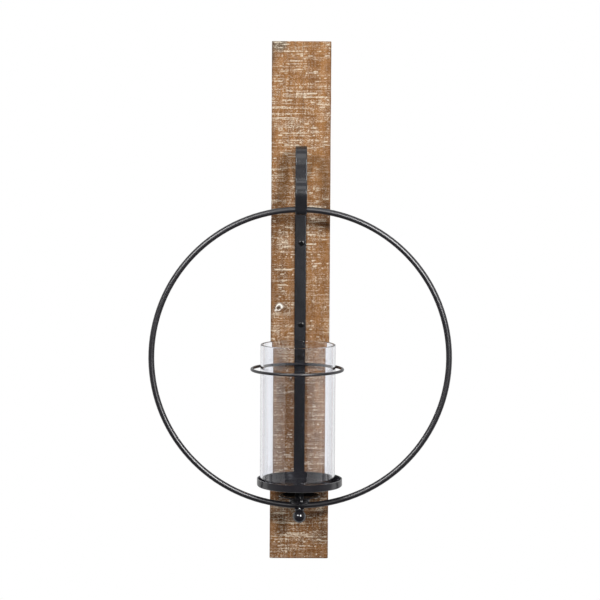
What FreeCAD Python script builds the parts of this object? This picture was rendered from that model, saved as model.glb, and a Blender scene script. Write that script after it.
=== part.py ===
"""Wall sconce candle holder: plank, flat-bar hook, big rod ring, guard ring, glass and tray.

Frame: origin at the centre of the plank's back face, +Z up, the front faces -Y. Millimetres.
"""

import FreeCAD, Part
import math
import os

import Sketcher
from FreeCAD import Rotation, Vector

doc = FreeCAD.newDocument("WallSconce")

SIZES = {
    # plank
    "board_wide": 81, "board_thick": 20, "board_tall": 711, "board_edge": 1,
    # flat bar: straight stretch, hook, rolled eye and foot
    "strap_wide": 15.5, "strap_thick": 3, "strap_round": 1.2,
    "leave_height": 149, "arch_top": 215, "arch_radius": 23, "arch_lean": 30,
    "leg_reach": 67, "flare_radius": 12, "bulge_radius": 16, "bulge_height": 152,
    "eye_lean": 10, "eye_turn": 270, "eye_gap": 0.3,
    "foot_bend": 4.5, "foot_past_stud": 9, "foot_round": 6,
    # big ring
    "ring_radius": 200, "ring_rod": 8, "ring_height": -69,
    # guard ring and its tab
    "guard_radius": 61, "guard_rod": 4, "guard_height": -84, "guard_side": -4, "guard_sink": 0.5,
    "lug_thick": 2, "lug_wide": 12, "lug_top": -64, "lug_bottom": -88,
    # glass
    "glass_wide": 101, "glass_wall": 3, "glass_tall": 190.5, "glass_side": -3, "glass_edge": 1.2,
    # stack below the glass
    "tray_wide": 115, "tray_wall": 1.5, "tray_deep": 8.5, "tray_rim": -232, "tray_round": 2,
    "dish_wide": 55.6, "dish_wall": 1.2, "dish_rim": -255, "dish_tall": 4.5, "dish_flat": 34,
    "bead_wide": 27.2, "bead_round": 2.4, "bead_sink": 1,
    "sleeve_wide": 12, "neck_wide": 13, "neck_tall": 3.2, "neck_round": 0.8,
    "ball_wide": 17.8, "ball_height": -284.2, "stud_wide": 4, "stud_end": -285,
    "bore_gap": 0.1,
    # wood screws
    "head_wide": 8, "head_tall": 2.4, "head_round": 1.6, "shank_wide": 3.5, "shank_long": 16,
    "point_long": 4, "cross_wide": 1, "cross_long": 4.4, "cross_deep": 1.2,
    "screw_side": 1.5, "upper_screw": 82, "lower_screw": -30, "lug_screw_height": -74,
    # keyhole hanger
    "hanger_wide": 20, "hanger_tall": 60, "hanger_thick": 1.5, "hanger_height": 290,
    "hanger_gap": 0.2, "key_entry": 9, "key_slot": 4.5, "key_rise": 10,
    "room_wide": 13, "room_tall": 26, "room_deep": 9,
    "hanger_screw_spread": 44, "hanger_head": 6, "hanger_shank": 3, "hanger_long": 12,
}

# Derived places, written once from the driving sizes.
STRAP_FRONT = "(Sizes.board_thick + Sizes.strap_thick)"
LUG_FRONT = f"({STRAP_FRONT} + Sizes.lug_thick)"
REACH = f"({LUG_FRONT} + Sizes.guard_radius + Sizes.guard_rod / 2 - Sizes.guard_sink)"
ON_BOARD = "(Sizes.board_thick + Sizes.strap_thick / 2)"
LEG = "(Sizes.board_thick + Sizes.leg_reach)"
ARCH_HEIGHT = "(Sizes.arch_top - Sizes.strap_thick / 2 - Sizes.arch_radius)"
EYE_HEIGHT = "(Sizes.ring_height + Sizes.ring_radius)"
EYE_RADIUS = "(Sizes.ring_rod / 2 + Sizes.eye_gap + Sizes.strap_thick / 2)"
TRAY_FLOOR = "(Sizes.tray_rim - Sizes.tray_deep)"
TRAY_BOTTOM = f"({TRAY_FLOOR} - Sizes.tray_wall)"
FOOT_BOTTOM = f"({TRAY_BOTTOM} - Sizes.strap_thick)"
FOOT_MIDDLE = f"({TRAY_BOTTOM} - Sizes.strap_thick / 2)"
FOOT_END = f"({REACH} + Sizes.foot_past_stud)"
DISH_BOTTOM = "(Sizes.dish_rim - Sizes.dish_tall)"
RING_LOW = "(Sizes.ring_height - Sizes.ring_radius)"
RING_LOW_TOP = f"({RING_LOW} + Sizes.ring_rod / 2)"
BEAD_BOTTOM = f"({RING_LOW_TOP} - Sizes.bead_sink)"
RING_LOW_BOTTOM = f"({RING_LOW} - Sizes.ring_rod / 2)"
NECK_BOTTOM = f"({RING_LOW_BOTTOM} - Sizes.neck_tall)"
STUD_BORE = "(Sizes.stud_wide / 2 + Sizes.bore_gap)"
SHANK_BORE = "(Sizes.shank_wide / 2 + Sizes.bore_gap)"
HANGER_BORE = "(Sizes.hanger_shank / 2 + Sizes.bore_gap)"

TURN_TO_FRONT = Rotation(Vector(1, 0, 0), 90)
TURN_TO_BACK = Rotation(Vector(1, 0, 0), -90)


def make_sheet():
    """The sheet of driving dimensions, one alias a row."""
    sheet = doc.addObject("Spreadsheet::Sheet", "Sizes")
    for row, (alias, value) in enumerate(SIZES.items(), start=1):
        sheet.set(f"A{row}", alias)
        sheet.set(f"B{row}", str(value))
        sheet.setAlias(f"B{row}", alias)
    doc.recompute()
    return sheet


sheet = make_sheet()


def value(text):
    """The number that an expression on the sheet gives."""
    return float(sheet.evalExpression(text.replace("Sizes.", "")))


def bind(thing, **expressions):
    """Binds properties, with __ for the dots in their names."""
    for name, text in expressions.items():
        thing.setExpression(name.replace("__", "."), text)


def place(thing, across="0", forward="0", up="0", turn=None):
    """Puts a piece forward of the wall (towards -Y), across and up, each by an expression."""
    if turn is not None:
        thing.Placement.Rotation = turn
    bind(thing, Placement__Base__x=across, Placement__Base__y=f"-({forward})")
    bind(thing, Placement__Base__z=up)
    return thing


def box(name, wide, thick, tall, forward, low, across="0"):
    """A box centred across; its back face is `forward` of the wall and its foot at `low`."""
    thing = doc.addObject("Part::Box", name)
    bind(thing, Length=wide, Width=thick, Height=tall)
    return place(thing, f"{across} - ({wide}) / 2", f"{forward} + {thick}", low)


def rod(name, radius, length, across="0", forward="0", up="0", turn=None):
    """A cylinder; it runs up from its foot, or forward from the wall when turned."""
    thing = doc.addObject("Part::Cylinder", name)
    bind(thing, Radius=radius, Height=length)
    return place(thing, across, forward, up, turn)


def cut(label, base, tools):
    """A named boolean cut of one or more tools."""
    tool = tools[0]
    if len(tools) > 1:
        tool = doc.addObject("Part::MultiFuse", f"{label}_tools")
        tool.Shapes = tools
    result = doc.addObject("Part::Cut", label)
    result.Base = base
    result.Tool = tool
    return result


def plane(body, role):
    """One of a body's own origin planes or axes."""
    return next(part for part in body.Origin.OriginFeatures if part.Role == role)


def new_sketch(body, name, role):
    """A sketch on one of a body's origin planes."""
    sketch = body.newObject("Sketcher::SketchObject", name)
    sketch.AttachmentSupport = [(plane(body, role), "")]
    sketch.MapMode = "FlatFace"
    return sketch


def fix_point(sketch, geo, end, name, across, up):
    """Ties a sketch point to the sheet by its distances from the sketch's origin."""
    if across == "0":
        sketch.addConstraint(Sketcher.Constraint("PointOnObject", geo, end, -2))
    else:
        pull = Sketcher.Constraint("DistanceX", -1, 1, geo, end, value(across))
        sketch.renameConstraint(sketch.addConstraint(pull), f"{name}_across")
        sketch.setExpression(f"Constraints.{name}_across", across)
    lift = Sketcher.Constraint("DistanceY", -1, 1, geo, end, value(up))
    sketch.renameConstraint(sketch.addConstraint(lift), f"{name}_up")
    sketch.setExpression(f"Constraints.{name}_up", up)


def closed_outline(sketch, corners):
    """A closed outline of straight lines through corners given as expressions."""
    points = [Vector(value(across), value(up), 0) for across, up in corners]
    for start, end in zip(points, points[1:] + points[:1]):
        sketch.addGeometry(Part.LineSegment(start, end), False)
    for index in range(len(points)):
        before = (index - 1) % len(points)
        sketch.addConstraint(Sketcher.Constraint("Coincident", before, 2, index, 1))
    for index, (across, up) in enumerate(corners):
        fix_point(sketch, index, 1, f"corner{index}", across, up)


def turned(label, corners):
    """A body turned about its own upright axis from an outline of (radius, height) corners."""
    body = doc.addObject("PartDesign::Body", label)
    sketch = new_sketch(body, f"{label}_outline", "XZ_Plane")
    closed_outline(sketch, corners)
    turning = body.newObject("PartDesign::Revolution", f"{label}_turning")
    turning.Profile = sketch
    turning.ReferenceAxis = (sketch, ["V_Axis"])
    turning.Angle = 360
    body.Tip = turning
    doc.recompute()
    return body


def round_edges(body, radius, pick):
    """Rounds the edges of a body's tip that `pick` accepts."""
    doc.recompute()
    base = body.Tip
    names = [f"Edge{i}" for i, edge in enumerate(base.Shape.Edges, start=1) if pick(edge)]
    rounding = body.newObject("PartDesign::Fillet", f"{body.Name}_round{len(body.Group)}")
    rounding.Base = (base, names)
    bind(rounding, Radius=radius)
    body.Tip = rounding
    doc.recompute()
    return body


def circle_at(radius, height):
    """Accepts a circular edge of this radius at this height, both expressions."""
    wanted_radius, wanted_height = value(radius), value(height)

    def pick(edge):
        curve = edge.Curve
        if not isinstance(curve, Part.Circle):
            return False
        near = abs(curve.Radius - wanted_radius) < 0.01
        return near and abs(curve.Center.z - wanted_height) < 0.01

    return pick


def washer(label, outer, inner, low, high):
    """A turned ring with a square section; radii and heights are expressions."""
    return turned(label, [(inner, low), (outer, low), (outer, high), (inner, high)])


# ---- flat bar -----------------------------------------------------------------------------


def bar_pieces():
    """The bar's centreline as named lines and arcs, in distances forward of the wall and up.

    It runs from the foot's free end to the end inside the rolled eye. Headings are measured
    from straight up towards the front, so 180 degrees points down.
    """

    def right_of(heading):
        turn = math.radians(heading)
        return Vector(math.cos(turn), -math.sin(turn), 0)

    def arc(centre, radius, first, last, side=1):
        """side 1 turns to the right of travel, -1 to the left."""
        turns = (first, (first + last) / 2, last)
        return [centre - right_of(turn) * (radius * side) for turn in turns]

    into_eye = 180 + value("Sizes.eye_lean")
    lean = value("Sizes.arch_lean")
    leg = value(LEG)
    eye_centre = Vector(value(REACH), value(EYE_HEIGHT), 0)
    eye = arc(eye_centre, value(EYE_RADIUS), into_eye, into_eye + value("Sizes.eye_turn"))

    # the bulge touches the straight stretch into the eye, and the flare touches bulge and leg
    bulge_radius, flare_radius = value("Sizes.bulge_radius"), value("Sizes.flare_radius")
    bulge_up = value("Sizes.bulge_height")
    to_right = right_of(into_eye)
    inset = bulge_radius - value(EYE_RADIUS)
    rise = (bulge_up - eye_centre.y - inset * to_right.y) / to_right.x
    bulge_centre = eye_centre + to_right * inset + Vector(to_right.y, -to_right.x, 0) * -rise
    flare_across = leg + flare_radius
    reach_apart = flare_radius + bulge_radius
    apart = bulge_centre.x - flare_across
    flare_centre = Vector(flare_across, bulge_up + math.sqrt(reach_apart ** 2 - apart ** 2), 0)
    slope = 180 - math.degrees(math.acos(-apart / reach_apart))
    bulge = arc(bulge_centre, bulge_radius, slope, into_eye)
    flare = arc(flare_centre, flare_radius, 180, slope, -1)

    arch_centre = Vector(leg - value("Sizes.arch_radius"), value(ARCH_HEIGHT), 0)
    arch = arc(arch_centre, value("Sizes.arch_radius"), lean, 180)

    # the first gentle bend is as large as it must be to meet the arch's tangent
    leave = Vector(value(ON_BOARD), value("Sizes.leave_height"), 0)
    gap, turn = arch[0] - leave, math.radians(lean)
    ease_radius = (gap.y * math.sin(turn) - gap.x * math.cos(turn)) / (1 - math.cos(turn))
    ease = arc(leave + Vector(ease_radius, 0, 0), ease_radius, 0, lean)

    bend = value("Sizes.foot_bend")
    foot = value(FOOT_MIDDLE)
    corner = arc(Vector(value(ON_BOARD) + bend, foot + bend, 0), bend, -90, 0)
    foot_end = Vector(value(FOOT_END), foot, 0)
    return {
        "foot": [foot_end, corner[0]],
        "corner": corner,
        "straight": [corner[-1], leave],
        "ease": ease,
        "rise": [ease[-1], arch[0]],
        "arch": arch,
        "leg": [arch[-1], flare[0]],
        "flare": flare,
        "bulge": bulge,
        "drop": [bulge[-1], eye[0]],
        "eye": eye,
    }


def draw_path(sketch):
    """Draws the bar's centreline, whose sketch x runs along +Y, and ties it to the sheet."""
    pieces = bar_pieces()
    geo = {name: index for index, name in enumerate(pieces)}
    for points in pieces.values():
        points = [Vector(-point.x, point.y, 0) for point in points]
        line = len(points) == 2
        sketch.addGeometry(Part.LineSegment(*points) if line else Part.Arc(*points), False)

    def end_at(name, point):
        """Which end of a piece, 1 or 2, lies at this point of the centreline."""
        first = sketch.getPoint(geo[name], 1)
        return 1 if (first - Vector(-point.x, point.y, 0)).Length < 1e-6 else 2

    names = list(pieces)
    for before, after in zip(names, names[1:]):
        joint = pieces[after][0]
        ends = (geo[before], end_at(before, joint), geo[after], end_at(after, joint))
        sketch.addConstraint(Sketcher.Constraint("Tangent", *ends))

    def tie(kind, name, end, text):
        """Binds the distance from the sketch's origin to a point, DistanceX or DistanceY."""
        pull = Sketcher.Constraint(kind, -1, 1, geo[name], end, value(text))
        label = f"{name}_{'up' if kind == 'DistanceY' else 'forward'}{end}"
        sketch.renameConstraint(sketch.addConstraint(pull), label)
        sketch.setExpression(f"Constraints.{label}", text)

    def tie_radius(name, text):
        size = Sketcher.Constraint("Radius", geo[name], value(text))
        sketch.renameConstraint(sketch.addConstraint(size), f"{name}_radius")
        sketch.setExpression(f"Constraints.{name}_radius", text)

    tie("DistanceX", "foot", 1, f"-{FOOT_END}")
    tie("DistanceY", "foot", 1, FOOT_MIDDLE)
    sketch.addConstraint(Sketcher.Constraint("Horizontal", geo["foot"]))
    tie_radius("corner", "Sizes.foot_bend")
    sketch.addConstraint(Sketcher.Constraint("Vertical", geo["straight"]))
    tie("DistanceX", "straight", 2, f"-{ON_BOARD}")
    tie("DistanceY", "straight", 2, "Sizes.leave_height")
    lean = Sketcher.Constraint("Angle", geo["rise"], math.radians(90 + value("Sizes.arch_lean")))
    sketch.renameConstraint(sketch.addConstraint(lean), "rise_angle")
    sketch.setExpression("Constraints.rise_angle", "90 + Sizes.arch_lean")
    tie_radius("arch", "Sizes.arch_radius")
    tie("DistanceY", "arch", 3, ARCH_HEIGHT)
    sketch.addConstraint(Sketcher.Constraint("Vertical", geo["leg"]))
    tie("DistanceX", "leg", 1, f"-{LEG}")
    tie_radius("flare", "Sizes.flare_radius")
    tie_radius("bulge", "Sizes.bulge_radius")
    tie("DistanceY", "bulge", 3, "Sizes.bulge_height")
    drop = Sketcher.Constraint("Angle", geo["drop"], math.radians(value("Sizes.eye_lean") - 90))
    sketch.renameConstraint(sketch.addConstraint(drop), "drop_angle")
    sketch.setExpression("Constraints.drop_angle", "Sizes.eye_lean - 90")
    tie("DistanceX", "eye", 3, f"-{REACH}")
    tie("DistanceY", "eye", 3, EYE_HEIGHT)
    tie_radius("eye", EYE_RADIUS)
    free_end = end_at("eye", pieces["eye"][-1])
    tie("DistanceX", "eye", free_end,
        f"-{REACH} + {EYE_RADIUS} * cos(180 + Sizes.eye_lean + Sizes.eye_turn)")


def bar_section(body):
    """The flat bar's section, standing at the free end of its foot."""
    sketch = new_sketch(body, "strap_section", "XZ_Plane")
    bind(sketch, AttachmentOffset__Base__z=FOOT_END)
    half = "Sizes.strap_wide / 2"
    corners = [
        (f"-{half}", FOOT_BOTTOM),
        (half, FOOT_BOTTOM),
        (half, TRAY_BOTTOM),
        (f"-{half}", TRAY_BOTTOM),
    ]
    closed_outline(sketch, corners)
    return sketch


def hook_strap():
    """The bar bent from one flat strip, with its screw holes and the stud hole in its foot."""
    body = doc.addObject("PartDesign::Body", "bent_bar")
    section = bar_section(body)
    path = new_sketch(body, "strap_path", "YZ_Plane")
    draw_path(path)
    doc.recompute()
    assert path.solve() == 0, "the bar's path doesn't solve"
    sweep = body.newObject("PartDesign::AdditivePipe", "strap_sweep")
    sweep.Profile = section
    sweep.Spine = (path, [])
    body.Tip = sweep
    half, end = value("Sizes.strap_wide / 2"), value(f"-{FOOT_END}")

    def on_a_side(edge):
        return edge.BoundBox.XLength < 0.01 and abs(abs(edge.BoundBox.XMin) - half) < 0.01

    def foot_corner(edge):
        return on_a_side(edge) and abs(edge.BoundBox.YMin - end) < 0.01 and edge.BoundBox.YLength < 0.01

    round_edges(body, "Sizes.foot_round", foot_corner)
    round_edges(body, "Sizes.strap_round", lambda edge: on_a_side(edge) and not foot_corner(edge))
    deep = "Sizes.board_thick + 2 * Sizes.strap_thick"
    holes = [
        rod(f"strap_hole_{name}", SHANK_BORE, deep, across, up=f"Sizes.{height}", turn=TURN_TO_FRONT)
        for name, across, height in (
            ("upper", "Sizes.screw_side", "upper_screw"),
            ("lower", "Sizes.screw_side", "lower_screw"),
            ("lug", "0", "lug_screw_height"),
        )
    ]
    holes.append(rod("foot_hole", STUD_BORE, "3 * Sizes.strap_thick", forward=REACH,
                     up=f"{FOOT_BOTTOM} - Sizes.strap_thick"))
    return cut("hook_strap", body, holes)


# ---- plank and hanger ---------------------------------------------------------------------


def board():
    """The plank, with pilot holes in front and the hanger's recess in its back."""
    blank = box("plank_blank", "Sizes.board_wide", "Sizes.board_thick", "Sizes.board_tall",
                "0", "-Sizes.board_tall / 2")
    eased = doc.addObject("Part::Fillet", "plank_eased")
    eased.Base = blank
    edge = value("Sizes.board_edge")
    eased.Edges = [(index, edge, edge) for index in range(1, 13)]
    tools = [
        rod(f"pilot_{name}", SHANK_BORE, "Sizes.board_thick", across,
            "Sizes.board_thick - Sizes.shank_long", f"Sizes.{height}", TURN_TO_FRONT)
        for name, across, height in (
            ("upper", "Sizes.screw_side", "upper_screw"),
            ("lower", "Sizes.screw_side", "lower_screw"),
            ("lug", "0", "lug_screw_height"),
        )
    ]
    wide = "(Sizes.hanger_wide + 2 * Sizes.hanger_gap)"
    tall = "(Sizes.hanger_tall + 2 * Sizes.hanger_gap)"
    tools.append(box("hanger_recess", wide, "Sizes.hanger_thick", tall, "0",
                     f"Sizes.hanger_height - {tall} / 2"))
    tools.append(box("key_room", "Sizes.room_wide", "Sizes.room_deep", "Sizes.room_tall", "0",
                     "Sizes.hanger_height - Sizes.room_tall / 2"))
    for side, sign in (("top", "+"), ("bottom", "-")):
        height = f"Sizes.hanger_height {sign} Sizes.hanger_screw_spread / 2"
        tools.append(rod(f"hanger_pilot_{side}", HANGER_BORE, "Sizes.hanger_long", up=height,
                         turn=TURN_TO_FRONT))
    return cut("board", eased, tools)


def hanger_plate():
    """The keyhole plate, flush with the plank's back, with countersunk screw holes."""
    blank = box("hanger_blank", "Sizes.hanger_wide", "Sizes.hanger_thick", "Sizes.hanger_tall", "0",
                "Sizes.hanger_height - Sizes.hanger_tall / 2")
    low = "Sizes.hanger_height - Sizes.key_rise / 2"
    high = "Sizes.hanger_height + Sizes.key_rise / 2"
    thick = "Sizes.hanger_thick"
    tools = [
        rod("key_entry_hole", "Sizes.key_entry / 2", thick, up=low, turn=TURN_TO_FRONT),
        rod("key_slot_end", "Sizes.key_slot / 2", thick, up=high, turn=TURN_TO_FRONT),
        box("key_slot_cut", "Sizes.key_slot", thick, "Sizes.key_rise", "0", low),
    ]
    for side, sign in (("top", "+"), ("bottom", "-")):
        sink = doc.addObject("Part::Cone", f"countersink_{side}")
        bind(sink, Radius1="Sizes.hanger_head / 2", Radius2=HANGER_BORE, Height=thick)
        place(sink, up=f"Sizes.hanger_height {sign} Sizes.hanger_screw_spread / 2", turn=TURN_TO_FRONT)
        tools.append(sink)
    return cut("hanger_plate", blank, tools)


# ---- screws -------------------------------------------------------------------------------


def pan_screw(name, across, seat, height):
    """A pan-head wood screw with a cross recess; `seat` is how far forward its head sits."""
    head, shank = "Sizes.head_wide / 2", "Sizes.shank_wide / 2"
    tip = "-Sizes.shank_long"
    corners = [
        ("0", tip),
        (shank, f"{tip} + Sizes.point_long"),
        (shank, "-Sizes.bore_gap"),
        (head, "-Sizes.bore_gap"),
        (head, "Sizes.head_tall"),
        ("0", "Sizes.head_tall"),
    ]
    body = turned(f"{name}_turned", corners)
    round_edges(body, "Sizes.head_round", circle_at(head, "Sizes.head_tall"))
    floor = "Sizes.head_tall - Sizes.cross_deep"
    arms = []
    for arm, wide, thick in (("across", "Sizes.cross_long", "Sizes.cross_wide"),
                             ("upright", "Sizes.cross_wide", "Sizes.cross_long")):
        arms.append(box(f"{name}_cross_{arm}", wide, thick, "Sizes.cross_deep + 1",
                        f"-{thick} / 2", floor))
    screw = cut(name, body, arms)
    return place(screw, across, f"{seat} + Sizes.bore_gap", height, TURN_TO_FRONT)


def flush_screw(name, height):
    """A countersunk wood screw whose head is flush with the plank's back."""
    head, shank = "Sizes.hanger_head / 2 - Sizes.bore_gap", "Sizes.hanger_shank / 2"
    corners = [
        ("0", "-Sizes.hanger_long + Sizes.bore_gap"),
        (shank, "-Sizes.hanger_long + Sizes.point_long"),
        (shank, "-Sizes.hanger_thick"),
        (head, "0 - Sizes.bore_gap"),
        ("0", "0 - Sizes.bore_gap"),
    ]
    return place(turned(name, corners), up=height, turn=TURN_TO_BACK)


def group(label, members):
    """Identical fasteners as one sub-part of separate solids."""
    compound = doc.addObject("Part::Compound", label)
    compound.Links = members
    return compound


def strap_screws():
    upper = pan_screw("screw_upper", "Sizes.screw_side", STRAP_FRONT, "Sizes.upper_screw")
    lower = pan_screw("screw_lower", "Sizes.screw_side", STRAP_FRONT, "Sizes.lower_screw")
    return group("strap_screws", [upper, lower])


def hanger_screws():
    spread = "Sizes.hanger_screw_spread / 2"
    top = flush_screw("hanger_screw_top", f"Sizes.hanger_height + {spread}")
    bottom = flush_screw("hanger_screw_bottom", f"Sizes.hanger_height - {spread}")
    return group("hanger_screws", [top, bottom])


# ---- rings and tab ------------------------------------------------------------------------


def torus(name, radius, rod_wide, across="0", up="0", turn=None):
    thing = doc.addObject("Part::Torus", name)
    bind(thing, Radius1=radius, Radius2=f"{rod_wide} / 2")
    return place(thing, across, REACH, up, turn)


def ring_torus(name):
    return torus(name, "Sizes.ring_radius", "Sizes.ring_rod", up="Sizes.ring_height",
                 turn=TURN_TO_FRONT)


def frame_ring():
    """The big rod ring, drilled upright at its lowest point for the stud."""
    drill = rod("ring_drill", STUD_BORE, "2 * Sizes.ring_rod", forward=REACH,
                up=f"{RING_LOW} - Sizes.ring_rod")
    return cut("frame_ring", ring_torus("ring_bent"), [drill])


def guard_torus(name):
    return torus(name, "Sizes.guard_radius", "Sizes.guard_rod", "Sizes.guard_side",
                 "Sizes.guard_height")


def guard_lug():
    """The tab on the bar, round at its top and grooved where the guard ring is welded in."""
    shoulder = "(Sizes.lug_top - Sizes.lug_wide / 2)"
    plate = box("lug_plate", "Sizes.lug_wide", "Sizes.lug_thick", f"{shoulder} - Sizes.lug_bottom",
                STRAP_FRONT, "Sizes.lug_bottom")
    end = rod("lug_end", "Sizes.lug_wide / 2", "Sizes.lug_thick", forward=STRAP_FRONT, up=shoulder,
              turn=TURN_TO_FRONT)
    blank = doc.addObject("Part::Fuse", "lug_blank")
    blank.Base = plate
    blank.Tool = end
    hole = rod("lug_hole", SHANK_BORE, "2 * Sizes.lug_thick", forward=STRAP_FRONT,
               up="Sizes.lug_screw_height", turn=TURN_TO_FRONT)
    return cut("guard_lug", blank, [hole, guard_torus("lug_groove")])


# ---- glass and the stack under it ---------------------------------------------------------


def glass_cylinder():
    """The hurricane glass, open at both ends, with fire-polished edges."""
    outer, inner = "Sizes.glass_wide / 2", "(Sizes.glass_wide / 2 - Sizes.glass_wall)"
    top = f"({TRAY_FLOOR} + Sizes.glass_tall)"
    body = washer("glass_cylinder", outer, inner, TRAY_FLOOR, top)
    picks = [circle_at(radius, height) for radius in (outer, inner) for height in (TRAY_FLOOR, top)]
    round_edges(body, "Sizes.glass_edge", lambda edge: any(pick(edge) for pick in picks))
    return place(body, "Sizes.glass_side", REACH)


def candle_tray():
    """The tray: a flat floor and an upright wall."""
    outer = "Sizes.tray_wide / 2"
    inner = f"({outer} - Sizes.tray_wall)"
    corners = [
        ("0", TRAY_BOTTOM),
        (outer, TRAY_BOTTOM),
        (outer, "Sizes.tray_rim"),
        (inner, "Sizes.tray_rim"),
        (inner, TRAY_FLOOR),
        ("0", TRAY_FLOOR),
    ]
    body = turned("candle_tray", corners)
    round_edges(body, "Sizes.tray_round", circle_at(outer, TRAY_BOTTOM))
    return place(body, forward=REACH)


def drip_dish():
    """The shallow dish: a flat middle and a sloping side."""
    rim, flat = "Sizes.dish_wide / 2", "Sizes.dish_flat / 2"
    floor = f"({DISH_BOTTOM} + Sizes.dish_wall)"
    corners = [
        (STUD_BORE, DISH_BOTTOM),
        (flat, DISH_BOTTOM),
        (rim, "Sizes.dish_rim - Sizes.dish_wall"),
        (rim, "Sizes.dish_rim"),
        (f"{rim} - Sizes.dish_wall", "Sizes.dish_rim"),
        (f"{flat} - Sizes.dish_wall / 2", floor),
        (STUD_BORE, floor),
    ]
    return place(turned("drip_dish", corners), forward=REACH)


def spacer_sleeve():
    """The tube that holds the dish below the foot."""
    body = washer("spacer_sleeve", "Sizes.sleeve_wide / 2", STUD_BORE,
                  f"{DISH_BOTTOM} + Sizes.dish_wall", FOOT_BOTTOM)
    return place(body, forward=REACH)


def bead_collar():
    """The bead between the dish and the big ring, with a saddle that sits over the ring's rod."""
    outer = "Sizes.bead_wide / 2"
    body = washer("bead_turned", outer, STUD_BORE, BEAD_BOTTOM, DISH_BOTTOM)
    picks = [circle_at(outer, BEAD_BOTTOM), circle_at(outer, DISH_BOTTOM)]
    round_edges(body, "Sizes.bead_round", lambda edge: any(pick(edge) for pick in picks))
    place(body, forward=REACH)
    return cut("bead_collar", body, [ring_torus("bead_saddle")])


def neck_washer():
    """The neck between the big ring and the ball."""
    outer = "Sizes.neck_wide / 2"
    body = washer("neck_washer", outer, STUD_BORE, NECK_BOTTOM, RING_LOW_BOTTOM)
    picks = [circle_at(outer, NECK_BOTTOM), circle_at(outer, RING_LOW_BOTTOM)]
    round_edges(body, "Sizes.neck_round", lambda edge: any(pick(edge) for pick in picks))
    return place(body, forward=REACH)


def ball_finial():
    """The ball nut, flat where it meets the neck and bored for the stud."""
    ball = doc.addObject("Part::Sphere", "ball")
    bind(ball, Radius="Sizes.ball_wide / 2")
    place(ball, forward=REACH, up="Sizes.ball_height")
    top = rod("ball_top", "Sizes.ball_wide", "Sizes.ball_wide", forward=REACH, up=NECK_BOTTOM)
    bore = rod("ball_bore", STUD_BORE, "Sizes.ball_wide", forward=REACH,
               up="Sizes.stud_end - Sizes.bore_gap")
    return cut("ball_finial", ball, [top, bore])


def tray_stud():
    """The stud under the tray that the whole stack is threaded on."""
    stud = rod("tray_stud", "Sizes.stud_wide / 2", f"{TRAY_BOTTOM} - Sizes.stud_end",
               forward=REACH, up="Sizes.stud_end")
    return stud


def check_and_write(parts):
    """Stops on any failed object or bad solid, then writes one STEP file a sub-part."""
    doc.recompute()
    for thing in doc.Objects:
        failed = {"Invalid", "Error"} & set(thing.State)
        assert not failed, f"{thing.Label}: {thing.State}"
    for part in parts:
        shape = part.Shape
        assert not shape.isNull() and shape.isValid() and shape.Solids, part.Label
    os.makedirs("parts", exist_ok=True)
    for part in parts:
        part.Shape.exportStep(f"parts/{part.Label}.step")
        print(f"{part.Label}: {len(part.Shape.Solids)} solid(s), {part.Shape.Volume / 1000:.2f} cm3")


check_and_write([
    board(),
    hook_strap(),
    strap_screws(),
    guard_lug(),
    pan_screw("lug_screw", "0", LUG_FRONT, "Sizes.lug_screw_height"),
    guard_torus("guard_ring"),
    frame_ring(),
    glass_cylinder(),
    candle_tray(),
    tray_stud(),
    spacer_sleeve(),
    drip_dish(),
    bead_collar(),
    neck_washer(),
    ball_finial(),
    hanger_plate(),
    hanger_screws(),
])
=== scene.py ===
"""Looks of the wall sconce: a weathered plank, a black bar hook with its rings, and the glass.

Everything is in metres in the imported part's frame: the plank's back lies in y = 0, the room is
towards -y and z is up. The plank's own sizes are in millimetres until its mesh is made.
"""

import math

import bpy
import numpy as np
from mathutils import Matrix, Vector


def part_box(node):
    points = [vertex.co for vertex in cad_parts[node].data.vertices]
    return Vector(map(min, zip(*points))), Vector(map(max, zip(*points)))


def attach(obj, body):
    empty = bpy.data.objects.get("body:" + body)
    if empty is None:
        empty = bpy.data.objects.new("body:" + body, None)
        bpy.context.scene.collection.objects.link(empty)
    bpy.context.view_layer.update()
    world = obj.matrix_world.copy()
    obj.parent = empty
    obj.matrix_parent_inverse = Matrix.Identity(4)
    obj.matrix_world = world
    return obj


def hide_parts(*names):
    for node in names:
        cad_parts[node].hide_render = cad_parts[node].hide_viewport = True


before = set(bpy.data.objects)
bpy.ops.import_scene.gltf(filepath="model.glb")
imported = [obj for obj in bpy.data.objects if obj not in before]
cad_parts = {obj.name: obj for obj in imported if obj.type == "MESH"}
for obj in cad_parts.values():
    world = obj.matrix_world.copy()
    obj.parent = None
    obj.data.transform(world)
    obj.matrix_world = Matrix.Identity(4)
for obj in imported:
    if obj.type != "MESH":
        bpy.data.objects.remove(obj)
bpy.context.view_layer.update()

MM = 0.001


# ---- node helpers -------------------------------------------------------------------------


def node(tree, kind, props=None, **inputs):
    """One shader node. An input that is a socket is linked, and any other is set."""
    made = tree.nodes.new(kind)
    for key, value in (props or {}).items():
        setattr(made, key, value)
    for key, value in inputs.items():
        plug(tree, made.inputs[key.replace("_", " ")], value)
    return made


def plug(tree, socket, value):
    """Links a socket into another, or sets it to a plain value."""
    if isinstance(value, bpy.types.NodeSocket):
        tree.links.new(value, socket)
    else:
        socket.default_value = value


def maths(tree, operation, *values):
    made = tree.nodes.new("ShaderNodeMath")
    made.operation = operation
    for socket, value in zip(made.inputs, values):
        plug(tree, socket, value)
    return made.outputs[0]


def plus(tree, first, second):
    return maths(tree, "ADD", first, second)


def times(tree, first, second):
    return maths(tree, "MULTIPLY", first, second)


def larger(tree, first, second):
    return maths(tree, "MAXIMUM", first, second)


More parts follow.
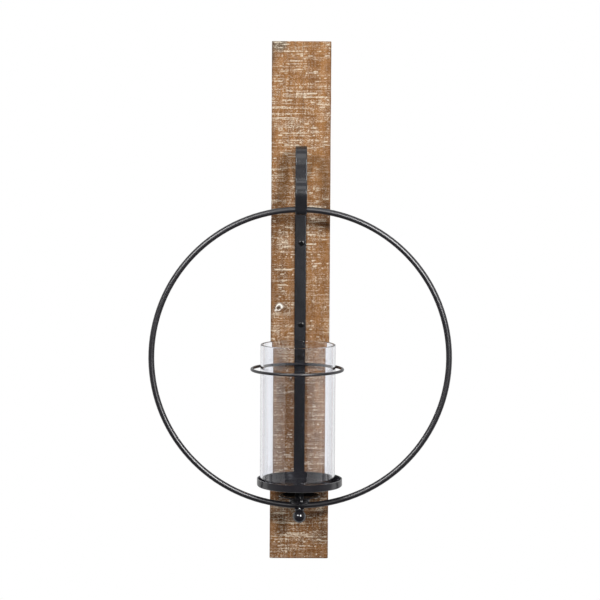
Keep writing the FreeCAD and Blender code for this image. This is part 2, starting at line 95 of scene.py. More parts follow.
def remap(tree, value, low, high, to_low=0.0, to_high=1.0):
    """value between low and high, eased to a range and held there."""
    made = tree.nodes.new("ShaderNodeMapRange")
    made.interpolation_type = "SMOOTHSTEP"
    for socket, given in zip(made.inputs, (value, low, high, to_low, to_high)):
        plug(tree, socket, given)
    return made.outputs[0]


def blend_colour(tree, factor, first, second):
    made = tree.nodes.new("ShaderNodeMix")
    made.data_type = "RGBA"
    plug(tree, made.inputs[0], factor)
    plug(tree, made.inputs[6], first)
    plug(tree, made.inputs[7], second)
    return made.outputs[2]


def noise(tree, scale, detail=3.0, roughness=0.55, distortion=0.0):
    """Noise with a number of waves a metre in x, y and z."""
    where = node(tree, "ShaderNodeTexCoord")
    across = node(tree, "ShaderNodeMapping", Vector=where.outputs["Object"], Scale=scale)
    made = node(tree, "ShaderNodeTexNoise", Vector=across.outputs[0], Scale=1.0,
                Detail=detail, Roughness=roughness, Distortion=distortion)
    return made.outputs[0]


def attribute(tree, name):
    return node(tree, "ShaderNodeAttribute", {"attribute_name": name}).outputs["Fac"]


def bump(tree, height, distance, strength=1.0, normal=None):
    """A normal raised by height, with its distance in metres, on top of another normal."""
    made = node(tree, "ShaderNodeBump", Height=height, Distance=distance, Strength=strength)
    if normal is not None:
        plug(tree, made.inputs["Normal"], normal)
    return made.outputs[0]


def srgb(red, green, blue):
    """A colour given as screen values from 0 to 255."""
    def linear(value):
        value /= 255
        return value / 12.92 if value <= 0.04045 else ((value + 0.055) / 1.055) ** 2.4
    return (linear(red), linear(green), linear(blue), 1.0)


def material(name):
    """A new material: itself, its tree and its Principled node."""
    made = bpy.data.materials.new(name)
    made.use_nodes = True
    tree = made.node_tree
    tree.nodes.clear()
    surface = tree.nodes.new("ShaderNodeBsdfPrincipled")
    output = tree.nodes.new("ShaderNodeOutputMaterial")
    tree.links.new(surface.outputs[0], output.inputs["Surface"])
    return made, tree, surface


def show_mix(tree, factor, first, second):
    """Makes a mix of two shaders the material's surface."""
    mix = tree.nodes.new("ShaderNodeMixShader")
    tree.links.new(factor, mix.inputs["Fac"])
    tree.links.new(first.outputs[0], mix.inputs[1])
    tree.links.new(second.outputs[0], mix.inputs[2])
    output = next(n for n in tree.nodes if n.type == "OUTPUT_MATERIAL")
    tree.links.new(mix.outputs[0], output.inputs["Surface"])


# ---- metal and glass ----------------------------------------------------------------------

# Black paints: the cloud's two tones, lowest and highest roughness, and waviness in metres.
BLACK_PAINTS = {
    "black_metal": ((18, 18, 20), (22, 22, 25), (0.21, 0.24), 0.000004),
    "black_rod": ((19, 18, 21), (24, 23, 26), (0.29, 0.32), 0.00001),
    "black_tray": ((21, 20, 23), (26, 25, 28), (0.16, 0.20), 0.00001),
    "black_gloss": ((20, 19, 22), (25, 24, 27), (0.06, 0.09), 0.00001),
    "black_screw": ((6, 6, 7), (10, 10, 11), (0.10, 0.15), 0.00001),
}
SCUFF_GREY = srgb(96, 94, 95)
SCUFF_MOST = 0.25
SCUFF_ROUGHER = 0.3
ZINC = (srgb(176, 178, 182), srgb(206, 205, 200))
GLASS_TINT = (0.905, 0.912, 0.940, 1.0)
GLASS_SHADOW = (0.915, 0.92, 0.925, 1.0)
GLASS_IOR = 1.5


def painted_metal(name, dark, light, rough, wave):
    """Black paint on steel: faint cloudiness, slight waves, and a few dull scuffs."""
    made, tree, surface = material(name)
    cloud = noise(tree, (60, 60, 40), 3)
    scuff = remap(tree, noise(tree, (520, 520, 150), 4, 0.6, 0.8), 0.72, 0.78, 0.0, SCUFF_MOST)
    tone = blend_colour(tree, remap(tree, cloud, 0.35, 0.65), srgb(*dark), srgb(*light))
    plug(tree, surface.inputs["Base Color"], blend_colour(tree, scuff, tone, SCUFF_GREY))
    dull = remap(tree, noise(tree, (110, 110, 110), 3), 0.3, 0.7, *rough)
    plug(tree, surface.inputs["Roughness"],
         plus(tree, dull, times(tree, scuff, SCUFF_ROUGHER)))
    plug(tree, surface.inputs["Normal"], bump(tree, noise(tree, (30, 30, 30), 1), wave))
    return made


def steel():
    """Zinc-plated steel with a faint mottle and fine draw lines."""
    made, tree, surface = material("zinc_steel")
    mottle = noise(tree, (260, 260, 260), 5)
    plug(tree, surface.inputs["Base Color"],
         blend_colour(tree, remap(tree, mottle, 0.35, 0.7), *ZINC))
    surface.inputs["Metallic"].default_value = 1.0
    plug(tree, surface.inputs["Roughness"], remap(tree, mottle, 0.3, 0.7, 0.28, 0.46))
    plug(tree, surface.inputs["Normal"],
         bump(tree, noise(tree, (3000, 3000, 260), 2), 0.00002))
    return made


def clear_glass():
    """Drawn glass: clear, faintly grey in its depth, with soft upright waves.

    Shadow rays pass straight through it, so the lamps light what stands behind it.
    """
    made, tree, surface = material("clear_glass")
    surface.inputs["Base Color"].default_value = GLASS_TINT
    surface.inputs["Transmission Weight"].default_value = 1.0
    surface.inputs["IOR"].default_value = GLASS_IOR
    smear = noise(tree, (120, 120, 30), 3)
    plug(tree, surface.inputs["Roughness"], remap(tree, smear, 0.5, 0.8, 0.0, 0.02))
    plug(tree, surface.inputs["Normal"], bump(tree, noise(tree, (24, 24, 3), 1), 0.00002))
    path = node(tree, "ShaderNodeLightPath")
    shadow = node(tree, "ShaderNodeBsdfTransparent", Color=GLASS_SHADOW)
    show_mix(tree, path.outputs["Is Shadow Ray"], surface, shadow)
    return made


# ---- wood ---------------------------------------------------------------------------------

# The wood's noises: waves a metre in x, y and z, then detail, roughness and distortion.
WOOD_NOISES = {
    "bands": ((60, 60, 5), 3, 0.5, 0.3),
    "blotch": ((95, 95, 60), 4, 0.6),
    "grain": ((520, 520, 22), 4, 0.6, 0.4),
    "fibre": ((1500, 1500, 160), 3, 0.6),
    "rows": ((22, 22, 520), 2, 0.5),
    "columns": ((460, 460, 16), 2, 0.5),
    "patch": ((34, 34, 22), 3, 0.6),
    "specks": ((480, 480, 1000), 2, 0.6, 0.5),
    "dashes": ((110, 110, 900), 2, 0.55, 0.2),
    "dash_patch": ((30, 30, 26), 3, 0.6),
    "weave": ((460, 460, 1150), 1, 0.5),
}
# Each pair is the colour at tone 0 and at tone 1.
LIGHT_WOOD = (srgb(120, 79, 42), srgb(155, 110, 66))
DARK_WOOD = (srgb(82, 50, 27), srgb(124, 84, 49))
FIBRE_BROWN = srgb(84, 54, 34)
ROW_BROWN = srgb(92, 60, 38)
STAIN_GREY = srgb(84, 73, 62)
# Brown of the knots and the crack, also used for painted shade: the big ring's shadow on the
# plank.
KNOT_AND_SHADE_BROWN = srgb(52, 32, 22)
CREAM = (srgb(204, 190, 166), srgb(232, 222, 204))
CHALK_WHITE = srgb(244, 240, 232)
PAINT_COVER = 0.90
WOOD_SPECULAR = 0.25


def bare_wood(tree, wave, shade):
    """The colour of the wood, with its stain, its dark knots and crack, and the big ring's painted
    shadow.
    """
    tone = attribute(tree, "tone")
    light = blend_colour(tree, tone, *LIGHT_WOOD)
    dark = blend_colour(tree, tone, *DARK_WOOD)
    wood = blend_colour(tree, remap(tree, shade, 0.38, 0.62), dark, light)
    fibres = remap(tree, wave["fibre"], 0.54, 0.80, 0.0, 0.45)
    wood = blend_colour(tree, fibres, wood, FIBRE_BROWN)
    saw_rows = remap(tree, wave["rows"], 0.44, 0.26, 0.0, 0.30)
    wood = blend_colour(tree, saw_rows, wood, ROW_BROWN)
    wood = blend_colour(tree, attribute(tree, "stain"), wood, STAIN_GREY)
    # The darkness holds the knots, the crack and painted shade: the big ring's shadow.
    return blend_colour(tree, attribute(tree, "dark"), wood, KNOT_AND_SHADE_BROWN)


def paint_left(tree, wave):
    """How much cream paint is left: bold marks from the mesh, specks, dashes and a mist."""
    hatch = maths(tree, "MULTIPLY_ADD", wave["rows"], 0.45, times(tree, wave["columns"], 0.25))
    specks = remap(tree, maths(tree, "MULTIPLY_ADD", wave["specks"], 0.50, hatch),
                   0.662, 0.705)
    specks = times(tree, specks, remap(tree, wave["patch"], 0.36, 0.58, 0.15, 0.85))
    dashes = maths(tree, "MULTIPLY_ADD", wave["dashes"], 0.60, times(tree, wave["rows"], 0.25))
    dashes = remap(tree, dashes, 0.500, 0.535)
    dashes = times(tree, dashes, remap(tree, wave["dash_patch"], 0.42, 0.60, 0.0, 0.85))
    broken = remap(tree, wave["specks"], 0.40, 0.56, 0.45, 1.0)
    bold = times(tree, remap(tree, attribute(tree, "wash"), 0.15, 0.65), broken)
    mist = maths(tree, "MULTIPLY_ADD", wave["weave"], 0.85, times(tree, hatch, 0.5))
    mist = remap(tree, mist, 0.60, 0.74, 0.0, 0.40)
    mist = times(tree, mist, remap(tree, wave["patch"], 0.30, 0.60, 0.45, 1.0))
    return larger(tree, larger(tree, bold, mist), larger(tree, specks, dashes))


def weathered_wood():
    """Brown wood with cream paint left in its saw marks. The mesh says where there is more."""
    made, tree, surface = material("reclaimed_wood")
    wave = {name: noise(tree, *given) for name, given in WOOD_NOISES.items()}
    shade = plus(tree, times(tree, wave["bands"], 0.35),
                 plus(tree, times(tree, wave["blotch"], 0.40), times(tree, wave["grain"], 0.25)))
    wood = bare_wood(tree, wave, shade)
    cream = blend_colour(tree, wave["fibre"], *CREAM)
    cover = times(tree, paint_left(tree, wave), PAINT_COVER)
    wood = blend_colour(tree, cover, wood, cream)
    wood = blend_colour(tree, attribute(tree, "chalk"), wood, CHALK_WHITE)
    plug(tree, surface.inputs["Base Color"], wood)
    plug(tree, surface.inputs["Roughness"], remap(tree, shade, 0.3, 0.7, 0.86, 0.68))
    surface.inputs["Specular IOR Level"].default_value = WOOD_SPECULAR
    relief = plus(tree, times(tree, wave["grain"], 0.7), times(tree, wave["fibre"], 0.3))
    grained = bump(tree, relief, 0.0002, 0.6)
    plug(tree, surface.inputs["Normal"], bump(tree, wave["rows"], 0.0004, 0.5, grained))
    return made


MATERIALS = {name: painted_metal(name, *given) for name, given in BLACK_PAINTS.items()}
MATERIALS["clear_glass"] = clear_glass()
MATERIALS["zinc_steel"] = steel()
MATERIALS["reclaimed_wood"] = weathered_wood()
# CAD nodes whose finish differs from the one that their slot names.
FINISHES = {
    "frame_ring": "black_rod", "guard_ring": "black_rod", "strap_screws": "black_screw",
    "lug_screw": "black_screw", "candle_tray": "black_tray", "drip_dish": "black_tray",
}


def dress(thing, finish):
    """Gives an object one of the materials, in place of its own."""
    thing.data.materials.clear()
    thing.data.materials.append(MATERIALS[finish])


# ---- mesh helpers -------------------------------------------------------------------------


def piece(name, points, faces, body, slot, stands_for, flat_faces=()):
    """A smooth mesh that rides on a body, has a slot's finish and stands for a CAD node."""
    mesh = bpy.data.meshes.new(name)
    mesh.from_pydata([tuple(p) for p in points], [], [tuple(f) for f in faces])
    mesh.validate()
    smooth = np.ones(len(mesh.polygons), bool)
    for index in flat_faces:
        smooth[index] = False
    mesh.polygons.foreach_set("use_smooth", smooth)
    made = bpy.data.objects.new(name, mesh)
    bpy.context.scene.collection.objects.link(made)
    dress(made, slot)
    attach(made, body)
    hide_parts(stands_for)
    return made


class Lattice:
    """Smooth noise on a plane from a table of seeded random numbers."""

    def __init__(self, seed, wide=97, tall=193):
        self.table = np.random.default_rng(seed).random((wide, tall))

    def __call__(self, u, v):
        u, v = np.broadcast_arrays(np.asarray(u, float), np.asarray(v, float))
        iu, iv = np.floor(u).astype(int), np.floor(v).astype(int)
        fu, fv = u - iu, v - iv
        fu, fv = fu * fu * (3 - 2 * fu), fv * fv * (3 - 2 * fv)
        wide, tall = self.table.shape
        corner = lambda a, b: self.table[(iu + a) % wide, (iv + b) % tall]
        low = corner(0, 0) * (1 - fu) + corner(1, 0) * fu
        high = corner(0, 1) * (1 - fu) + corner(1, 1) * fu
        return low * (1 - fv) + high * fv


def bell(distance, width, power=2):
    """1 at no distance, falling away over the width."""
    return np.exp(-(distance / width) ** power)


def spread(low, high, pitch, dense=()):
    """Stations from low to high about a pitch apart, and at a finer pitch in each dense span."""
    marks = list(np.linspace(low, high, int(round((high - low) / pitch)) + 1))
    for start, end, fine in dense:
        marks = [m for m in marks if not start <= m <= end]
        marks += list(np.linspace(start, end, int(round((end - start) / fine)) + 1))
    return np.array(sorted(marks))


def with_steps(marks, edges, clear):
    """The stations with a close pair at each edge of a pocket, and none of them near it."""
    for edge in edges:
        marks = marks[np.abs(marks - edge) > clear]
        marks = np.append(marks, [edge - STEP, edge + STEP])
    return np.sort(marks)


# ---- the plank ----------------------------------------------------------------------------

BOARD_LOW, BOARD_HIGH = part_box("board")
BOARD_LOW, BOARD_HIGH = np.array(BOARD_LOW) / MM, np.array(BOARD_HIGH) / MM
PLATE_LOW, PLATE_HIGH = (np.array(c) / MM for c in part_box("hanger_plate"))
# The pocket of the hanger plate, and the room behind it for the wall screw's head.
PLATE_DEPTH, ROOM_DEPTH = 1.5, 9.0
ROOM_HALF = 6.5
ROOM_LOW, ROOM_HIGH = 277.0, 303.0

# How the mesh is divided. EDGE and END are how far the first station is from the true edge.
EDGE, END = 1.2, 0.9
FRONT_PITCH, ROW_PITCH, BACK_PITCH = 1.32, 1.0, 4.4
SIDE_STATIONS = 7
STEP = 0.02
END_ROUND, HALF_WIDE, HALF_THICK = 0.7, 40.5, 10

KNOT_X, KNOT_Z = -29.2, -7.0
SMALL_KNOT_X, SMALL_KNOT_Z = -13.0, -105.0
CRACK_X, CRACK_FOOT = 2.4, 214.0
RING_SHADE_Z = 118
GRAIN_SPLITS = (-33.0, -24.0, -15.5, -7.0, CRACK_X, 11.0, 19.5, 27.5, 34.5)
# The boldest paint marks, each as left end, right end, height and strength.
BOLD_MARKS = (
    (-28, 2, 342, 0.9), (-16, 6, 338, 0.6), (-14, 2, 329, 0.7), (14, 34, 331, 0.5),
    (-30, -20, 315, 0.6), (4, 24, 313, 0.55), (26, 39, 310, 0.5), (-8, 22, 285, 1.0),
    (2, 36, 280, 1.0), (-26, -12, 276, 0.9), (12, 18, 273, 0.8), (-24, 38, 250, 0.45),
    (-38, 3, 242, 0.4), (8, 24, 238, 0.8), (-26, 8, 231, 0.55), (12, 24, 233, 0.9),
    (-4, 4, 228, 0.7), (30, 37, 220, 0.7), (-18, 3, 214, 0.5), (28, 37, 216, 0.6),
    (10, 36, 131, 1.0), (12, 26, 126, 0.9), (-38, -26, 131, 0.5), (-36, -24, 88, 0.7),
    (9, 22, 93, 0.8), (9, 22, 80, 0.9), (-22, -8, 77, 0.8), (10, 22, 73, 0.6),
    (16, 24, 50, 0.8), (-36, -10, 45, 0.9), (-12, -8, 38, 0.9), (-32, -18, 24, 0.7),
    (-30, -12, -18, 0.5), (9, 20, -32, 0.7), (-14, -8, -43, 0.9), (-22, -10, -48, 0.6),
    (-18, 6, -320, 0.8), (-20, 4, -324, 0.6), (18, 26, -318, 0.5), (-30, 16, -338, 0.7),
)
# Lightness of the bare wood at each height, on its left and its right. The dip near 113 is painted
# shade: the big ring's shadow.
TONE_HEIGHTS = (-356, -300, -240, -120, -60, 0, 60, 95, 113, 130, 165, 200, 240, 300, 356)
TONE_LEFT = (0.26, 0.22, 0.28, 0.40, 0.43, 0.36, 0.46, 0.34, 0.16, 0.28, 0.50, 0.66, 0.56,
             0.82, 0.85)
TONE_RIGHT = (0.36, 0.32, 0.40, 0.55, 0.62, 0.62, 0.58, 0.44, 0.18, 0.32, 0.78, 0.92, 0.82,
              0.88, 0.90)


def paint_rows(rng, xs, zs):
    """Cream paint left in the saw marks: level dashes, broken where the grain splits."""
    wash = np.zeros((len(zs), len(xs)))
    patch, fine = Lattice(11), Lattice(12)

    def dash(left, right, height, strength, tall):
        rows = np.abs(zs - height) < 2.2
        along = np.clip((xs - left) / 1.0, 0, 1) * np.clip((right - xs) / 1.0, 0, 1)
        wobble = height + 0.5 * (fine(xs / 9, height / 7) - 0.5)
        level = bell(zs[rows][:, None] - wobble[None, :], tall)
        gaps = 0.55 + 0.45 * (fine(xs / 1.9, height * 3.1) > 0.36)
        wash[rows] = np.maximum(wash[rows], level * (along * gaps * strength)[None, :])

    height = zs[0] + 1.5
    while height < zs[-1] - 1:
        left = xs[0] + rng.uniform(0, 9)
        while left < xs[-1] - 1:
            density = patch(left / 15 + 40, height / 19)
            length = rng.lognormal(1.55, 0.75)
            right = min(left + length, xs[-1] - 0.3)
            for split in GRAIN_SPLITS:
                split += 1.4 * (fine(split, height / 40) - 0.5)
                if left < split < right and rng.random() < 0.6:
                    right = split
            if rng.random() < 0.15 + 1.3 * max(density - 0.25, 0):
                strength = 0.35 + 0.65 * rng.random() ** 1.4
                dash(left, right, height, strength, 0.75 + 0.25 * rng.random())
            left = right + rng.uniform(0.6, 5.5)
        height += rng.uniform(2.3, 4.6)
    for left, right, height, strength in BOLD_MARKS:
        dash(left, right, height, strength, 1.0)
    return wash


def ragged(seed, zs, depth):
    """How far in from the true edge the plank's worn edge lies at each height."""
    slow, quick = Lattice(seed), Lattice(seed + 1)
    wear = depth * (0.55 * slow(0.5, zs / 34) + 0.25 * quick(3.5, zs / 6))
    nicks = np.clip(quick(9.5, zs / 3.1) - 0.80, 0, 1) * 3.2 * depth
    return wear + nicks


def knot_fields(x, z):
    """Chalk, darkness and depth of the two knots, at points of the front."""
    wobble = Lattice(31)
    right, up = x - KNOT_X, z - KNOT_Z
    angle, reach = np.arctan2(up, right), np.hypot(right, up)
    # The big knot is a chalky rim, open at the lower right, with a blob at the lower left.
    edge = 3.9 + 0.5 * np.cos(2 * angle - 1.6) + 0.7 * (wobble(angle * 2.2 + 9, 0.5) - 0.5)
    width = 0.95 + 0.60 * np.cos(angle - 0.7)
    chalk = bell(reach - edge, width) * (1 - 0.85 * bell(angle + 0.65, 0.35))
    chalk = np.maximum(chalk, 0.9 * bell(np.hypot(right + 4.2, up + 4.0), 1.3))
    # It is dark inside the rim, in a line round it, and in a halo to its right.
    dark = 0.95 * np.clip(1.45 - reach / edge, 0, 1) + 0.55 * bell(reach - edge - 2.2, 1.6)
    dark = np.maximum(dark, 0.58 * bell(np.hypot((right - 6) / 9, (up + 1) / 8), 1))
    depth = 0.9 * np.clip(1 - reach / edge, 0, 1)
    # The small knot is a dark spot with a fleck of chalk at its top.
    right, up = x - SMALL_KNOT_X, z - SMALL_KNOT_Z
    small = np.hypot(right, up * 0.8)
    dark = np.maximum(dark, 0.8 * bell(small, 3.6, 4))
    chalk = np.maximum(chalk, 0.9 * bell(np.hypot(right, up - 1.2), 0.8))
    depth += 0.5 * bell(small, 3.0, 4)
    return np.clip(chalk, 0, 1), np.clip(dark, 0, 1), depth


def front_fields(xs, zs):
    """How far the front is sunk at each of its points, and its wash, darkness and chalk."""
    wash = paint_rows(np.random.default_rng(7), xs, zs)
    x, z = np.meshgrid(xs, zs)
    chalk, dark, knot_depth = knot_fields(x, z)
    saw_rows, grain = Lattice(41, 97, 997), Lattice(43)
    sunk = (0.10 * saw_rows(x / 26, z / 1.35) + 0.07 * grain(x / 1.7, z / 60)
            + 0.10 * wash + 0.35 * np.clip(knot_depth, 0, 2))
    crack = bell(x - CRACK_X - 0.5 * (grain(0.5, z / 30) - 0.5), 0.32)
    crack *= np.clip((z - CRACK_FOOT) / 25, 0, 1) * (0.35 + 0.65 * grain(7.5, z / 9))
    sunk += 0.6 * crack
    dark = np.maximum(dark, 0.75 * crack)
    return sunk, {"wash": wash * (1 - np.clip(dark * 1.3, 0, 1)), "dark": dark, "chalk": chalk}


def outline(xs, zs, sunk):
    """The plank's columns of points, all round it: each one's x, y and place on the front."""
    left_wear, right_wear = ragged(21, zs, 0.55), ragged(25, zs, 0.5)
    left_edge, right_edge = BOARD_LOW[0] + left_wear, BOARD_HIGH[0] - right_wear
    front = BOARD_LOW[1]
    inner_sides = np.linspace(front + EDGE, -EDGE, SIDE_STATIONS)[1:-1]
    edges = (PLATE_LOW[0], PLATE_HIGH[0], -ROOM_HALF, ROOM_HALF)
    back = with_steps(spread(BOARD_LOW[0] + EDGE, BOARD_HIGH[0] - EDGE, BACK_PITCH), edges, 1.0)
    in_plate_rows = (zs > PLATE_LOW[2]) & (zs < PLATE_HIGH[2])
    in_room_rows = (zs > ROOM_LOW) & (zs < ROOM_HIGH)

    columns = [(left_edge, front + 1.25, None), (left_edge + 0.35, front + 0.42, None)]
    for i, x in enumerate(xs):
        share = np.clip((np.abs(x) - 36) / 3.3, 0, 1)
        wear = left_wear if x < 0 else -right_wear
        columns.append((x + share * wear, front + sunk[:, i] + 0.05 * share, i))
    columns += [(right_edge - 0.35, front + 0.42, None), (right_edge, front + 1.25, None)]
    columns += [(right_edge, y, None) for y in inner_sides]
    columns += [(right_edge, -1.0, None), (right_edge - 0.3, -0.3, None)]
    for x in back[::-1]:
        deep = np.zeros(len(zs))
        deep[in_plate_rows & (PLATE_LOW[0] < x < PLATE_HIGH[0])] = PLATE_DEPTH
        deep[in_room_rows & (abs(x) < ROOM_HALF)] = ROOM_DEPTH
        columns.append((x, -deep, None))
    columns += [(left_edge + 0.3, -0.3, None), (left_edge, -1.0, None)]
    columns += [(left_edge, y, None) for y in inner_sides[::-1]]
    return columns


def colour_fields(columns, xs, zs, points, fields):
    """What the wood's material reads at each point: tone, wash, stain, dark and chalk."""
    shape = points.shape[:2]
    drift = Lattice(51)
    tone = np.zeros(shape)
    values = {key: np.zeros(shape) for key in ("wash", "stain", "dark", "chalk")}
    for j, (x, y, i) in enumerate(columns):
        share = np.clip((np.asarray(x) + 40) / 80, 0, 1)
        tone[:, j] = (np.interp(zs, TONE_HEIGHTS, TONE_LEFT) * (1 - share)
                      + np.interp(zs, TONE_HEIGHTS, TONE_RIGHT) * share)
        tone[:, j] += 0.30 * (drift(np.asarray(x) / 13 + 3, zs / 42) - 0.5)
        if i is None:
            values["dark"][:, j] = 0.18 * (np.asarray(y) < -HALF_THICK)
            continue
        for key, field in fields.items():
            values[key][:, j] = field[:, i]
        # Darker towards the plank's side edges.
        edge_darkness = np.clip((np.abs(xs[i]) - 38.3) / 1.2, 0, 1)
        values["dark"][:, j] = np.maximum(values["dark"][:, j], 0.30 * edge_darkness)
    # A grey stain at the top left corner and down the left edge, and the big ring's shade.
    x, z = points[..., 0], points[..., 2]
    corner = np.clip(1.15 - np.hypot((x + 29) / 10, (z - 352) / 12), 0, 1)
    edge_stain = bell(x + 40, 4) * np.clip((z - 318) / 20, 0, 1)
    values["stain"] = np.clip(1.6 * corner + 0.7 * edge_stain, 0, 0.85)
    # Painted shade: the big ring's shadow on the plank, stronger right of x = 12.
    under_ring = bell(z - RING_SHADE_Z, 14) * (0.4 + 0.6 * (x > 12))
    values["dark"] = np.maximum(values["dark"], 0.38 * under_ring)
    values["tone"] = np.clip(tone, 0, 1)
    return values


def shell(points):
    """Points and faces of a closed shell round the rows of points. Its last two faces are flat."""
    rows, around = points.shape[:2]
    index = np.arange(rows * around).reshape(rows, around)
    beside = np.roll(index, -1, 1)
    quads = np.stack([index[:-1], beside[:-1], beside[1:], index[1:]], -1)
    faces = [tuple(f) for f in quads.reshape(-1, 4)]
    ends = []
    for row, height in ((0, BOARD_LOW[2]), (rows - 1, BOARD_HIGH[2])):
        rim, middle = points[row].copy(), BOARD_LOW[1] / 2
        rim[:, 2] = height
        rim[:, 0] *= 1 - END_ROUND / HALF_WIDE
        rim[:, 1] = middle + (rim[:, 1] - middle) * (1 - END_ROUND / HALF_THICK)
        ends.append(rim)
    first_cap = np.arange(rows * around, rows * around + around)
    last_cap = first_cap + around
    for j in range(around):
        k = (j + 1) % around
        faces.append((first_cap[j], first_cap[k], index[0, k], index[0, j]))
        faces.append((index[-1, j], index[-1, k], last_cap[k], last_cap[j]))
    faces += [tuple(first_cap[::-1]), tuple(last_cap)]
    return np.vstack([points.reshape(-1, 3)] + ends), faces


def board():
    """The plank: worn edges, saw marks, two knots, a drying crack and the plate's pocket."""
    xs = spread(BOARD_LOW[0] + EDGE, BOARD_HIGH[0] - EDGE, FRONT_PITCH,
                [(KNOT_X - 7.5, KNOT_X + 7.5, 0.8), (CRACK_X - 1.2, CRACK_X + 1.2, 0.4)])
    zs = spread(BOARD_LOW[2] + END, BOARD_HIGH[2] - END, ROW_PITCH,
                [(KNOT_Z - 8, KNOT_Z + 8, 0.7)])
    zs = with_steps(zs, (PLATE_LOW[2], PLATE_HIGH[2], ROOM_LOW, ROOM_HIGH), 0.4)
    sunk, fields = front_fields(xs, zs)
    columns = outline(xs, zs, sunk)
    points = np.stack([np.stack(np.broadcast_arrays(x, y, zs), 1) for x, y, _ in columns], 1)
    values = colour_fields(columns, xs, zs, points, fields)
    flat, faces = shell(points)
    made = piece("plank", flat * MM, faces, "sconce", "reclaimed_wood", "board",
                 (len(faces) - 2, len(faces) - 1))
    for key, table in values.items():
        layer = made.data.attributes.new(key, "FLOAT", "POINT")
        full = np.concatenate([table.reshape(-1), table[0], table[-1]])
        layer.data.foreach_set("value", full.astype(np.float32))


board()

for name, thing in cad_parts.items():
    slot = thing.data.materials[0].name.split(".")[0]
    dress(thing, FINISHES.get(name, slot))


# ---- floor, light and camera --------------------------------------------------------------

FLOOR_HALF, FLOOR_HEIGHT = 30.0, -0.45
FLOOR_GREY = (0.30, 0.30, 0.30, 1)
BLACK, WHITE = (0, 0, 0, 1), (1, 1, 1, 1)
LAMPS_AIM = Vector((0, -0.06, 0))
CAMERA_PLACE = (-0.025, -3.240, 0.306)
CAMERA_PITCH, CAMERA_YAW, CAMERA_ROLL = 5.37, 0.44, 0.34
CAMERA_LENS, CAMERA_SENSOR = 141.78, 36


def floor():
    """A plain pale floor under the sconce, not part of it.

    The camera sees it as plain white from above and sees through it from below. Light that
    falls on it meets a grey sheet, and neither the paint nor the glass mirrors it.
    """
    mesh = bpy.data.meshes.new("floor")
    corners = ((-1, -1), (1, -1), (1, 1), (-1, 1))
    mesh.from_pydata([(x * FLOOR_HALF, y * FLOOR_HALF, FLOOR_HEIGHT) for x, y in corners],
                     [], [(0, 1, 2, 3)])
    made = bpy.data.objects.new("floor", mesh)
    bpy.context.scene.collection.objects.link(made)
    pale, tree, surface = material("pale_floor")
    seen = node(tree, "ShaderNodeLightPath").outputs["Is Camera Ray"]
    plug(tree, surface.inputs["Base Color"], blend_colour(tree, seen, FLOOR_GREY, BLACK))
    surface.inputs["Roughness"].default_value = 0.9
    surface.inputs["Specular IOR Level"].default_value = 0.0
    surface.inputs["Emission Color"].default_value = WHITE
    plug(tree, surface.inputs["Emission Strength"], seen)
    sides = node(tree, "ShaderNodeNewGeometry")
    show_mix(tree, sides.outputs["Backfacing"], surface,
             node(tree, "ShaderNodeBsdfTransparent"))
    made.data.materials.append(pale)
    made.visible_glossy = made.visible_transmission = False


def clear_view(tree, behind):
    """1 on what the camera sees directly or through the glass, and 0 in other light.

    Light that the glass throws about inside itself counts only where it leaves to the back.
    """
    path = node(tree, "ShaderNodeLightPath")
    bounced = plus(tree, path.outputs["Glossy Depth"], path.outputs["Diffuse Depth"])
    straight = larger(tree, maths(tree, "LESS_THAN", bounced, 0.5), behind)
    through = times(tree, path.outputs["Is Transmission Ray"], straight)
    return larger(tree, path.outputs["Is Camera Ray"], through)


def turned(azimuth, elevation):
    """A direction that many degrees to the right of the viewer and above the level."""
    a, e = math.radians(azimuth), math.radians(elevation)
    return (math.sin(a) * math.cos(e), -math.cos(a) * math.cos(e), math.sin(e))


# Name, direction, distance, width, height, radiance, whether surfaces mirror it, what it lights.
LAMPS = (
    ("key_right", turned(19, 16), 2.2, 0.24, 0.24, 168, False, "wood"),
    ("key_left", turned(-25, 22), 2.2, 0.34, 0.34, 72, False, "wood"),
    ("wall_left", turned(-58, 3), 2.4, 1.9, 2.2, 1.05, False, "wood"),
    ("wall_right", turned(58, 3), 2.4, 1.9, 2.2, 1.05, False, "wood"),
    ("fill_back", (0.5, 0.8, 0.35), 2.4, 1.8, 1.8, 1.8, False, "wood"),
    ("shine_right", turned(24, 17), 2.2, 0.9, 1.1, 30, True, "metal"),
    ("shine_left", turned(-29, 25), 2.2, 1.1, 1.0, 16, True, "metal and glass"),
    ("shine_top", turned(0, 58), 2.2, 1.6, 1.2, 2.0, True, "metal"),
    ("haze_right", turned(55, 0), 2.4, 2.4, 2.8, 1.15, True, "glass"),
    ("haze_left", turned(-60, 0), 2.4, 1.9, 2.8, 1.05, True, "glass"),
)


def softbox(name, direction, distance, wide, tall, radiance, mirrored, pieces):
    """A rectangular lamp of a given brightness that faces the sconce and lights some pieces."""
    lamp = bpy.data.lights.new(name, "AREA")
    lamp.shape = "RECTANGLE"
    lamp.size, lamp.size_y = wide, tall
    lamp.energy = radiance * wide * tall * math.pi
    made = bpy.data.objects.new(name, lamp)
    bpy.context.scene.collection.objects.link(made)
    way = Vector(direction).normalized()
    made.location = LAMPS_AIM + way * distance
    made.rotation_euler = way.to_track_quat("Z", "Y").to_euler()
    made.visible_glossy = mirrored
    made.visible_transmission = False
    lit = bpy.data.collections.new(name + "_lit")
    for thing in pieces:
        lit.objects.link(thing)
    made.light_linking.receiver_collection = lit


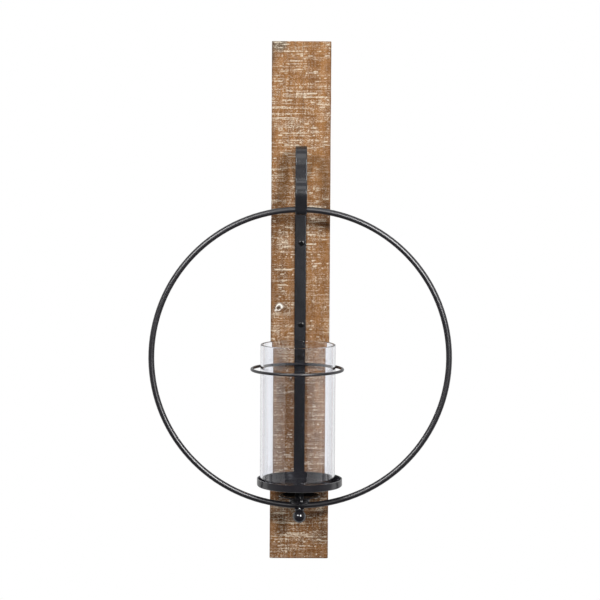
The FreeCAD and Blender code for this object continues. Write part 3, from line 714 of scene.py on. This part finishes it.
def surround():
    """A white surround, dark on the viewer's side and below. The camera sees it plain white."""
    world = bpy.data.worlds.new("studio")
    bpy.context.scene.world = world
    world.use_nodes = True
    tree = world.node_tree
    tree.nodes.clear()
    where = node(tree, "ShaderNodeTexCoord")
    apart = node(tree, "ShaderNodeSeparateXYZ", Vector=where.outputs["Generated"])
    depth, height = apart.outputs["Y"], apart.outputs["Z"]
    front = remap(tree, depth, -0.92, 0.1, 0.03, 0.6)
    front = times(tree, front, remap(tree, height, -0.5, -0.05, 0.1, 1.0))
    # Brightest just behind the sides, where it rims the ball, and dimmer straight behind.
    back = remap(tree, depth, 0.0, 0.2, 0.0, 1.3)
    back = times(tree, back, remap(tree, depth, 0.3, 0.6, 1.0, 0.53))
    behind = maths(tree, "GREATER_THAN", depth, 0.1)
    level = larger(tree, larger(tree, front, back), clear_view(tree, behind))
    ground = node(tree, "ShaderNodeBackground", Color=WHITE, Strength=level)
    output = node(tree, "ShaderNodeOutputWorld")
    tree.links.new(ground.outputs[0], output.inputs["Surface"])


def studio():
    """The surround and the lamps, each of which lights only its own kind of piece."""
    surround()
    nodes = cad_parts
    glass = [nodes["glass_cylinder"]]
    metal = [thing for name, thing in nodes.items() if name not in ("board", "glass_cylinder")]
    groups = {"wood": [bpy.data.objects["plank"]], "glass": glass, "metal": metal,
              "metal and glass": metal + glass}
    for *given, lights in LAMPS:
        softbox(*given, groups[lights])


def camera():
    """The camera in front of the sconce, a little above its middle."""
    pitch, yaw, roll = (math.radians(a) for a in (CAMERA_PITCH, CAMERA_YAW, CAMERA_ROLL))
    forward = Vector((math.sin(yaw) * math.cos(pitch), math.cos(yaw) * math.cos(pitch),
                      -math.sin(pitch)))
    level = Vector((math.cos(yaw), -math.sin(yaw), 0))
    upright = level.cross(forward)
    right = level * math.cos(roll) + upright * math.sin(roll)
    up = upright * math.cos(roll) - level * math.sin(roll)
    data = bpy.data.cameras.new("camera")
    data.sensor_width = CAMERA_SENSOR
    data.lens = CAMERA_LENS
    data.clip_start, data.clip_end = 0.1, 60
    made = bpy.data.objects.new("camera", data)
    bpy.context.scene.collection.objects.link(made)
    turn = Matrix((right, up, -forward)).transposed()
    made.matrix_world = Matrix.Translation(CAMERA_PLACE) @ turn.to_4x4()
    bpy.context.scene.camera = made


floor()
studio()
camera()
bpy.context.scene.view_settings.view_transform = "Standard"
